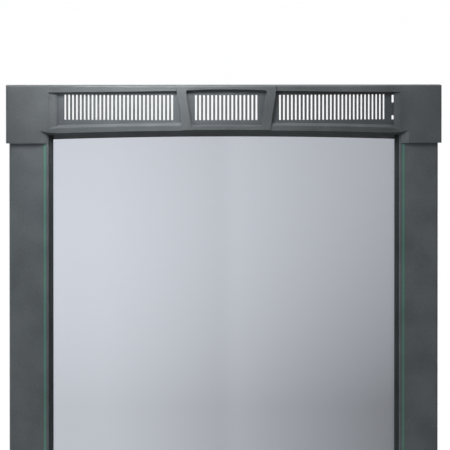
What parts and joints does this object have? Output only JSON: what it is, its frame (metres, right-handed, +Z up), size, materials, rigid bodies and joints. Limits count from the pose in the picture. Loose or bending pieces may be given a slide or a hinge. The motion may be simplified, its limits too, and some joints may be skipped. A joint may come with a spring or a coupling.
{
  "type": "acrylic rack door",
  "caption": "Bow-front cabinet door: smoked acrylic panel between grey stiles with a green line, vented top cap with keystone, cam lock, lift-off hinges.",
  "frame": {"origin": "centre of the lower hinge leaf's two screw holes, on the leaf's back face where it meets the rack", "axes": "+X to the right seen from the front, +Y from the door towards the rack, +Z up"},
  "size_m": [0.6, 0.094, 1.0354],
  "materials": {
    "cap_plastic": "satin",
    "plate_steel": "satin",
    "stile_aluminium": "satin",
    "accent_green": "satin",
    "smoked_acrylic": "polished",
    "black_rubber": "matte",
    "zinc_steel": "satin",
    "hinge_steel": "satin",
    "lock_chrome": "polished",
    "nylon": "satin"
  },
  "bodies": {
    "rack_side": {"upper_hinge_leaf": "hinge_steel", "lower_hinge_leaf": "hinge_steel", "lower_hinge_pin": "zinc_steel", "hinge_washer": "nylon"},
    "door": {"top_cap": "cap_plastic", "bottom_cap": "cap_plastic", "keystone_bezel": "cap_plastic", "vent_plate": "plate_steel", "vent_plate_clips": "zinc_steel", "left_stile": "stile_aluminium", "right_stile": "stile_aluminium", "left_accent_strip": "accent_green", "right_accent_strip": "accent_green", "acrylic_panel": "smoked_acrylic", "left_gasket": "black_rubber", "right_gasket": "black_rubber", "top_gasket": "black_rubber", "bottom_gasket": "black_rubber", "top_cap_screws": "zinc_steel", "bottom_cap_screws": "zinc_steel", "upper_hinge_bracket": "hinge_steel", "lower_hinge_bracket": "hinge_steel", "hinge_bracket_screws": "zinc_steel", "pin_spring": "zinc_steel", "lock_body": "lock_chrome", "lock_nut": "zinc_steel"},
    "release_pin": {"upper_hinge_pin": "zinc_steel", "pin_clip": "zinc_steel"},
    "lock_turn_parts": {"lock_plug": "lock_chrome", "lock_cam": "zinc_steel", "cam_screw": "zinc_steel"}
  },
  "joints": [
    {"name": "door_swing", "type": "hinge", "parent": "rack_side", "child": "door", "pos_m": [0.027, -0.0105, 0], "axis": [0, 0, 1], "range_deg": [0, 110]},
    {"name": "lock_turn", "type": "hinge", "parent": "door", "child": "lock_turn_parts", "pos_m": [-0.5344, 0, 0.4652], "axis": [0, 1, 0], "range_deg": [0, 90]},
    {"name": "pin_release", "type": "slide", "parent": "door", "child": "release_pin", "axis": [0, 0, -1], "range_m": [0, 0.012], "stiffness_N_per_m": 600, "springref_m": -0.01, "deforming": ["pin_spring"]}
  ]
}
